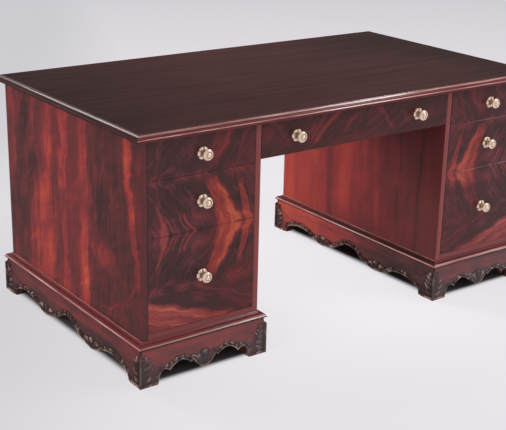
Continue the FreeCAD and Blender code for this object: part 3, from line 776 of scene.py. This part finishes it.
# Flames and glows of the matched sheet, from the end of the top and from the fold at the lower joint.
FLAMES = (
    ((256, 150), (334, -10), 56, 4, 0.38), ((284, 126), (356, -10), 24, 3, 0.24),
    ((338, 76), (360, 16), 5, 0, -0.14), ((318, 44), (344, 2), 4, 0, -0.1),
    ((362, 122), (402, -8), 23, -5, 0.42), ((380, 60), (392, 6), 3, 0, -0.1),
    ((70, 96), (102, -6), 13, 4, 0.24), ((104, 58), (136, 0), 8, -5, 0.24),
    ((122, 52), (152, -2), 7, -5, 0.2), ((150, 60), (184, 0), 8, -6, 0.26),
    ((168, 54), (210, -4), 8, -6, 0.28), ((196, 100), (262, 64), 7, 0, 0.12),
    ((330, 298), (20, 224), 46, -8, 0.42), ((262, 264), (20, 194), 20, -5, 0.24),
    ((240, 306), (20, 280), 22, 0, 0.24), ((250, 268), (40, 214), 4, -4, -0.1),
    ((270, 284), (40, 240), 4, -4, -0.1), ((220, 290), (40, 262), 4, 0, -0.1),
    ((400, 246), (200, 178), 7, 3, 0.12), ((300, 206), (150, 158), 6, 3, 0.12),
    ((420, 280), (290, 232), 7, 3, 0.1),
)
GLOWS = (
    ((310, 24), (80, 40), 0.14), ((392, 12), (40, 30), 0.16), ((84, 30), (26, 44), 0.14),
    ((214, 36), (46, 22), 0.16), ((236, 12), (20, 22), -0.08), ((372, 78), (26, 34), -0.08),
    ((60, 168), (34, 18), 0.18), ((165, 168), (18, 20), 0.14), ((222, 166), (26, 16), 0.18),
    ((340, 166), (30, 28), 0.22), ((392, 166), (24, 24), 0.16), ((150, 112), (60, 30), -0.06),
    ((110, 256), (80, 40), 0.08), ((372, 232), (70, 60), 0.08),
)
MAUVE = (
    (0.0, shade(48, 33, 33)), (0.25, shade(84, 52, 53)), (0.5, shade(130, 66, 68)),
    (0.75, shade(160, 82, 78)), (1.0, shade(188, 108, 96)),
)


def drawer_figure(place):
    """One sheet of crotch veneer mirrored at the joints, orange at the crotch and cooler beside it. Its
    flames show less on the top drawers and on the right."""
    x, _, z = place.parts()
    across = HALF_LONG - abs(x)
    mirrored = 2 * UPPER_JOINT - LOWER_JOINT - z
    fold = z.maths("MINIMUM", abs(z - LOWER_JOINT), abs(mirrored))
    sheet = place.joined(across, fold)
    sway = (sheet.times((20, 17, 1)).noise(4.0) - 0.5) * 0.04
    lift = (sheet.times((17, 24, 1)).noise(4.0) - 0.5) * 0.04
    over = across + sway
    up = fold + lift
    fanned = up.step(0.17, 0.2)
    slant = over + up * 0.75
    slant = slant + (up * 1.1 - over * 0.35 - slant) * fanned
    feather = place.joined(slant * 90, up * 16).noise(3.0).step(0.3, 0.7)
    hair = place.joined(slant * 420, up * 46).noise(2.0)
    pores = place.joined(slant * 1500, up * 110).noise(1.0)
    frayed = (feather - 0.5) * 1.6 + (hair - 0.5) * 0.6
    figure = 0.0
    for flame in FLAMES:
        figure = streak(over, up, *flame) + figure
    for patch in GLOWS:
        figure = blotch(over, up, frayed, *patch) + figure
    plainer = x.step(0.0, 0.1) * (0.16 + z.step(0.43, 0.37) * z.step(0.24, 0.3) * 0.6)
    shown = 1 - z.step(0.612, 0.63) * 0.6 - plainer
    clouds = place.joined(slant * 44, up * 26, over * 12).noise(3.0).step(0.5, 0.62)
    tone = 0.2 + figure * shown * (0.8 + feather * 0.44) + clouds * 0.13 + (feather - 0.5) * 0.07
    tone = tone + (hair - 0.5) * 0.14 - pores.step(0.58, 0.74) * 0.09
    cool = (over.step(0.28, 0.2) + x.step(0.0, 0.1) * 0.4) * 0.55
    colour = cool.mixed(tone.ramp(MAHOGANY), tone.ramp(MAUVE))
    return colour, 0.27 + pores * 0.12, pores.step(0.68, 0.5)


# Flames and glows of the centre drawer, from the left end of the top and from the floor.
CENTRE_FLAMES = (
    ((640, 650), (738, 742), 18, 4, 0.22), ((624, 656), (694, 742), 11, 3, 0.16),
    ((760, 664), (812, 728), 11, 4, 0.2), ((966, 648), (902, 732), 13, 4, 0.18),
    ((1056, 646), (996, 706), 11, 3, 0.1), ((580, 646), (646, 706), 10, 3, 0.12),
    ((850, 700), (880, 742), 9, 0, 0.1), ((520, 690), (470, 742), 9, 0, 0.1),
)
CENTRE_GLOWS = (
    ((630, 682), (44, 30), 0.12), ((480, 700), (40, 40), 0.06), ((760, 640), (60, 16), 0.1),
    ((850, 640), (70, 16), 0.1),
)


def centre_figure(place):
    """A darker sheet with a few slanting flames."""
    x, _, z = place.parts()
    sway = (place.times((20, 1, 22)).noise(4.0) - 0.5) * 0.035
    over = x + HALF_LONG + sway
    up = z + sway
    slant = up - over * 0.6
    feather = place.joined(slant * 90, over * 14).noise(3.0).step(0.3, 0.7)
    hair = place.joined(slant * 420, over * 30).noise(2.0)
    pores = place.times((90, 1, 1500)).noise(1.0)
    frayed = (feather - 0.5) * 1.6 + (hair - 0.5) * 0.6
    figure = 0.0
    for flame in CENTRE_FLAMES:
        figure = streak(over, up, *flame) + figure
    for patch in CENTRE_GLOWS:
        figure = blotch(over, up, frayed, *patch) + figure
    clouds = place.joined(slant * 40, over * 14).noise(3.0).step(0.5, 0.62)
    tone = 0.2 + figure * (0.74 + feather * 0.4) + clouds * 0.1
    tone = tone + (feather - 0.5) * 0.08 + (hair - 0.5) * 0.12
    return tone.ramp(MAHOGANY), 0.27 + pores * 0.12, pores.step(0.68, 0.5)


drawer_veneer = surface("crotch veneer of the drawer fronts", drawer_figure, coat=0.36)
centre_veneer = surface("crotch veneer of the centre drawer", centre_figure, coat=0.34)
front_wood = surface("solid mahogany of the fronts", plain_mahogany(0, 0.36, 0.4))
# The eased edge of a sheet: in from the front's edge, and proud of its face.
EASED = ((-0.4, 0), (-0.4, 0.4), (-0.15, 0.8), (0.3, 0.97), (0.9, 1.0))
drawers = {"centre_drawer": centre_veneer}
for side in SIDES:
    drawers.update({f"{side}_{row}_drawer": drawer_veneer for row in ("top", "middle", "bottom")})
for drawer, veneer in drawers.items():
    dress(f"{drawer}_front", front_wood)
    low, high = (corner * 1000 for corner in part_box(f"{drawer}_front"))
    points = []
    for inset, proud in EASED:
        x0, x1, z0, z1 = low.x + inset, high.x - inset, low.z + inset, high.z - inset
        points += [(x, low.y - proud, z) for x, z in ((x0, z0), (x1, z0), (x1, z1), (x0, z1))]
    # Two fronts on the right carry a painted highlight along their upper and lower edges, in the rubbed
    # arris's finish.
    rubbed = drawer in ("right_middle_drawer", "right_bottom_drawer")
    edge_of = lambda face: 1 if rubbed and 0.2 < abs(face.normal.z) < 0.99 else 0
    sheet = piece(f"{drawer}_veneer", points, skin(4, len(EASED)), [veneer, arris_x], edge_of, sharp=50)
    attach(sheet, drawer)


# Drawer boxes
# The sides and back of a drawer are boards of lining wood, dovetailed to each other and to the front. A
# thin bottom of the same wood is slid into their grooves. All of it is planed and left bare.
for drawer in drawers:
    dress(f"{drawer}_box", lining_y)
    dress(f"{drawer}_bottom", lining_x)


# Brass knobs
# Each pull is cast and turned in pale brass: a rosette of six petals against the front, a waisted stem and a
# head with a ring round a boss, screwed through from inside. Its hollows are darkened with painted shade.
ROSE_RADIUS = 20
ROSE_EYE = 9.5
ROSE_HIGH = 6
PETALS = 6
TURNS = 48
# The turning's section as radius and distance out from the drawer's front.
KNOB_SECTION = (
    [(ROSE_RADIUS, 0), (ROSE_RADIUS, 0.8)] + bowed((ROSE_RADIUS, 0.8), (9.6, 2.4), -3.2, 10)
    + [(9.2, 1.6), (7.4, 1.8)] + bowed((7.4, 1.8), (6, 7), 0.8, 5) + [(6.2, 9)]
    + bowed((6.2, 9), (14.6, 23), 1.2, 6) + [(15, 24)] + bowed((15, 24), (14.6, 29), -2.0, 8)
    + bowed((14.6, 29), (11, 32.6), -1.0, 5) + [(10.2, 31.4), (8.6, 31), (7.4, 31.8)]
    + bowed((7.4, 31.8), (0, 36), -1.2, 7)
)


def turned_knob(middle, height):
    """Points and faces of one knob, and how much painted shade darkens each point."""
    points, faces, lacquer = [], [], []
    for radius, out in KNOB_SECTION[:-1]:
        on_rose = out < ROSE_HIGH and radius > ROSE_EYE
        in_eye = 5 < radius < ROSE_EYE and out < 8
        groove = 0.7 if out > 30 and 7 < radius < 10.5 else 0.0
        for turn in range(TURNS):
            angle = 2 * math.pi * turn / TURNS
            cleft = (1 - abs(math.cos(PETALS / 2 * angle))) ** 2 if on_rose else 0.0
            x, z = ((1 - 0.1 * cleft) * radius * turned(angle) for turned in (math.cos, math.sin))
            points.append((middle + x, -FRONT_FACE - out * (1 - 0.55 * cleft), height + z))
            lacquer.append(1.0 if in_eye else max(groove, cleft))
    tip = len(points)
    points.append((middle, -FRONT_FACE - KNOB_SECTION[-1][1], height))
    lacquer.append(0.0)
    for ring in range(len(KNOB_SECTION) - 1):
        for turn in range(TURNS):
            a, b = (ring * TURNS + (turn + k) % TURNS for k in (0, 1))
            faces.append((a, b, b + TURNS, a + TURNS) if b + TURNS < tip else (a, b, tip))
    faces.append(tuple(range(TURNS)))
    return points, faces, lacquer


def brass_figure(place):
    """Pale brass, a little clouded and tarnished, and darkened with painted shade in its hollows."""
    cloud = place.times((60, 60, 60)).noise(3.0)
    dents = place.times((420, 420, 420)).noise(2.0)
    tarnish = place.times((150, 150, 150)).noise(3.0).step(0.55, 0.8)
    lacquer = place.node("Attribute", {"attribute_name": "lacquer"}, None, 2)
    colour = cloud.mixed(shade(252, 212, 182), shade(255, 238, 218))
    colour = (tarnish * 0.35).mixed(colour, shade(204, 160, 132))
    # Painted shade in the rosette's eye, between its petals and in the head's cove.
    colour = (lacquer * 0.8).mixed(colour, shade(96, 66, 36))
    return colour, 0.3 + tarnish * 0.16 + lacquer * 0.2, dents


brass = surface("pale brass", brass_figure, coat=0.0, specular=0.5)
brass.node_tree.nodes["Principled BSDF"].inputs["Metallic"].default_value = 0.7
for drawer in drawers:
    low, high = (corner * 1000 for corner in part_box(f"{drawer}_knob"))
    middles = [(low.x + high.x) / 2]
    if drawer == "centre_drawer":
        middles = [low.x + ROSE_RADIUS, high.x - ROSE_RADIUS]
    points, faces, lacquer = [], [], []
    for middle in middles:
        more, more_faces, more_hollow_shade = turned_knob(middle, (low.z + high.z) / 2)
        faces += [tuple(i + len(points) for i in face) for face in more_faces]
        points += more
        lacquer += more_hollow_shade
    knob = piece(f"{drawer}_pull", points, faces, [brass], sharp=60, marks=[("lacquer", lacquer)])
    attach(knob, drawer)
    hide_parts(f"{drawer}_knob")


# Top and its moulded edge
# A polished panel veneered with dark striped mahogany, inside a moulded edge of four mitred lengths: a cove,
# a fillet and a thumbnail under a chamfer, with a line scratched along the flat. The arrises are rubbed pale
# and carry painted highlights.
def top_figure(place):
    """Dark stripes along the top, a little lighter toward its middle."""
    x = place.parts()[0]
    broad, fine, pores = grain(place, 0, 0.02)
    warm = (place.times((1.6, 2.2, 1)).noise(2.0) - 0.5) * 0.2
    middle = ((x + 0.1) * 1.1) ** 2
    tone = 0.13 - middle * 0.11 + warm + (broad - 0.5) * 0.24 + (fine - 0.5) * 0.2
    colour = (tone - pores.step(0.56, 0.72) * 0.05).ramp(MAHOGANY)
    return colour, 0.3 + pores * 0.1, pores.step(0.68, 0.5)


top_wood = surface("dark striped mahogany of the top", top_figure, coat=0.08)
dress("desk_top", top_wood)
edge_x = surface("edge mahogany along the front", worn_and_shaded_edge(0, 0.4), coat=0.3)
# The edge's lengths along the sides are painted near black, as painted shade.
edge_y = surface("edge mahogany along the side", worn_and_shaded_edge(1, 0.1), coat=0.1)
DARK = (shade(84, 62, 60), shade(140, 116, 112))
dark_arris = surface("rubbed and highlit dark arris", rubbed_and_highlit_arris(1, *DARK), coat=0.8, blur=0.12)
TOP_HIGH = 762
edge_section = (
    [(40, POST_TOP), (12, POST_TOP)] + bowed((12, POST_TOP), (0.4, 746.6), -3.2, 8)
    + [(0, 747), (0, 748.6), (2.6, 751.2)] + bowed((2.6, 751.2), (8, 756.6), 1.2, 8)
    + [(8, 757.6), (12, 761.6), (12.6, TOP_HIGH), (15.6, TOP_HIGH)]
    + [(16.2, 760.4), (18.4, TOP_HIGH), (40, TOP_HIGH)]
)
fillet = edge_section.index((0, 748.6))
chamfer = edge_section.index((8, 757.6))
line = edge_section.index((16.2, 760.4))
flats = [edge_section.index(start) for start in ((12.6, TOP_HIGH), (18.4, TOP_HIGH))]
edge_runs = {(flat, length): top_wood for flat in flats for length in (0, 1)}
edge_runs.update({(fillet, 0): arris_x, (chamfer, 0): arris_x, (chamfer, 1): dark_arris})
edge_runs.update({(line, length): dark_arris for length in (0, 1)})
half_long, half_deep = HALF_LONG * 1000, HALF_DEEP * 1000
edge_box = (-half_long, half_long, -half_deep, half_deep)
edge = framed("top_edge_run", edge_box, edge_section, (edge_x, edge_y), edge_runs)
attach(edge, "desk")
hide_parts("top_edge_moulding")


# Studio
# A pale paper floor in even overcast light, with four soft lamps: over the front to draw the
# mouldings' arrises, behind to draw the left edge, at the left for the side, and behind the kneehole.
FLOOR_REACH = 14
floor_corners = [(FLOOR_REACH * x, FLOOR_REACH * y, 0) for x, y in ((-1, -1), (1, -1), (1, 1), (-1, 1))]
floor_mesh = bpy.data.meshes.new("paper_floor")
floor_mesh.from_pydata(floor_corners, [], [(0, 1, 2, 3)])
floor = bpy.data.objects.new("paper_floor", floor_mesh)
bpy.context.scene.collection.objects.link(floor)
# The grey of the far paper and of the backdrop; on the paper it is painted falloff of the light away from the
# desk.
FAR_GREY = shade(206, 206, 209)


def under_pedestals(place):
    """1 on the floor under the pedestals and 0 beyond them."""
    x, y = (abs(part) for part in place.parts()[:2])
    return x.step(0.37, 0.41) * x.step(0.81, 0.78) * y.step(0.45, 0.42)


def paper_figure(place):
    """Pale paper with faint clouds and fibres, and a painted shadow grey under the pedestals."""
    cloud = place.times((0.5, 0.5, 1)).noise(2.0)
    fibre = place.times((300, 300, 1)).noise(2.0)
    pale = cloud.mixed(shade(228, 224, 229), shade(234, 231, 236))
    return under_pedestals(place).mixed(pale, shade(120, 116, 116)), 0.8 + fibre * 0.1, fibre


def looked_at(tree):
    """1 where the backdrop is seen, also in polish or glass, and 0 where it only sends light."""
    rays = tree.nodes.new("ShaderNodeLightPath").outputs
    seen = Wire(rays["Is Camera Ray"])
    for kind in ("Is Glossy Ray", "Is Transmission Ray"):
        seen = seen.maths("MAXIMUM", seen, Wire(rays[kind]))
    return seen


paper = surface("pale paper", paper_figure, coat=0.0, specular=0.0)
floor_mesh.materials.append(paper)
tree = paper.node_tree
seen = looked_at(tree)
place_on = Wire(tree.nodes["Texture Coordinate"].outputs["Object"])
far = place_on.node("VectorMath", {"operation": "LENGTH"}, {0: place_on}, 1)
x, y = place_on.parts()[:2]
# Painted light on the paper where it is seen: a pool of light near the desk, painted falloff to grey far off
# and to the left, and no glow under the pedestals, so that their painted shadow shows.
left = (y * 0.6 - x).step(0.3, 1.5)
near = far.step(1.0, 0.3).mixed(shade(233, 229, 233), shade(248, 245, 249))
painted_falloff = far.maths("MAXIMUM", far.step(2.0, 9.0), left)
glow = far.node("Emission", None, {"Color": painted_falloff.mixed(near, FAR_GREY), "Strength": 1.0})
backdrop = far.node("MixShader", None, {
    0: seen * (1 - under_pedestals(place_on)) * 0.78,
    1: Wire(tree.nodes["Principled BSDF"].outputs[0]),
    2: glow,
})
tree.links.new(backdrop.socket, tree.nodes["Material Output"].inputs["Surface"])
world = bpy.data.worlds.new("overcast")
bpy.context.scene.world = world
world.use_nodes = True
sky = world.node_tree.nodes["Background"]
height = Wire(world.node_tree.nodes.new("ShaderNodeTexCoord").outputs["Generated"]).parts()[2]
seen = looked_at(world.node_tree)
overhead = 0.3 + height.maths("MAXIMUM", height, 0.0) * 0.75
sky_colour = seen.mixed(shade(238, 236, 242), FAR_GREY)
sky_strength = overhead + (1 - overhead) * seen
world.node_tree.links.new(sky_colour.socket, sky.inputs["Color"])
world.node_tree.links.new(sky_strength.socket, sky.inputs["Strength"])


def soft_lamp(name, place, aim, size, power, spread=180, mirrored=True):
    """A rectangular lamp at a place, turned to what it lights. One that isn't mirrored shows in no polish."""
    lamp = bpy.data.lights.new(name, "AREA")
    lamp.shape = "RECTANGLE"
    lamp.size, lamp.size_y = size
    lamp.energy = power
    lamp.spread = math.radians(spread)
    made = bpy.data.objects.new(name, lamp)
    made.location = place
    made.visible_glossy = mirrored
    made.rotation_euler = (Vector(aim) - Vector(place)).to_track_quat("-Z", "Y").to_euler()
    bpy.context.scene.collection.objects.link(made)


soft_lamp("front_lamp", (2.0, -1.25, 3.0), (0.9, -1.2, 0), (3.6, 0.45), 55)
soft_lamp("back_lamp", (-2.06, 4.5, 3.0), (-0.8, 0, 0.5), (0.4, 2.4), 12)
soft_lamp("left_lamp", (-4.8, -1.0, 1.5), (-0.4, 0, 0.4), (2.0, 2.0), 64, mirrored=False)
soft_lamp("kneehole_lamp", (-1.3, 3.2, 1.2), (0.4, 0, 0.3), (1.2, 0.8), 13, 50, False)


# Camera
# The photograph's view: from in front of the desk and to its left, at eye height, with a long lens turned
# toward the kneehole and tipped down. It is level but for a slight roll.
yaw = 0.63872
pitch = math.radians(19.281)
roll = 0.02367
ahead = Vector((math.sin(yaw) * math.cos(pitch), math.cos(yaw) * math.cos(pitch), -math.sin(pitch)))
right = Vector((math.cos(yaw), -math.sin(yaw), 0))
over = right.cross(ahead)
level_right = right * math.cos(roll) + over * math.sin(roll)
level_up = over * math.cos(roll) - right * math.sin(roll)
lens = bpy.data.cameras.new("camera")
lens.lens = 82.317
lens.sensor_width = 36
lens.sensor_fit = "HORIZONTAL"
camera = bpy.data.objects.new("camera", lens)
camera.matrix_world = Matrix((level_right, level_up, -ahead)).transposed().to_4x4()
camera.location = (-2.3573, -3.0579, 1.6007)
bpy.context.scene.collection.objects.link(camera)
bpy.context.scene.camera = camera
bpy.context.scene.view_settings.view_transform = "Standard"
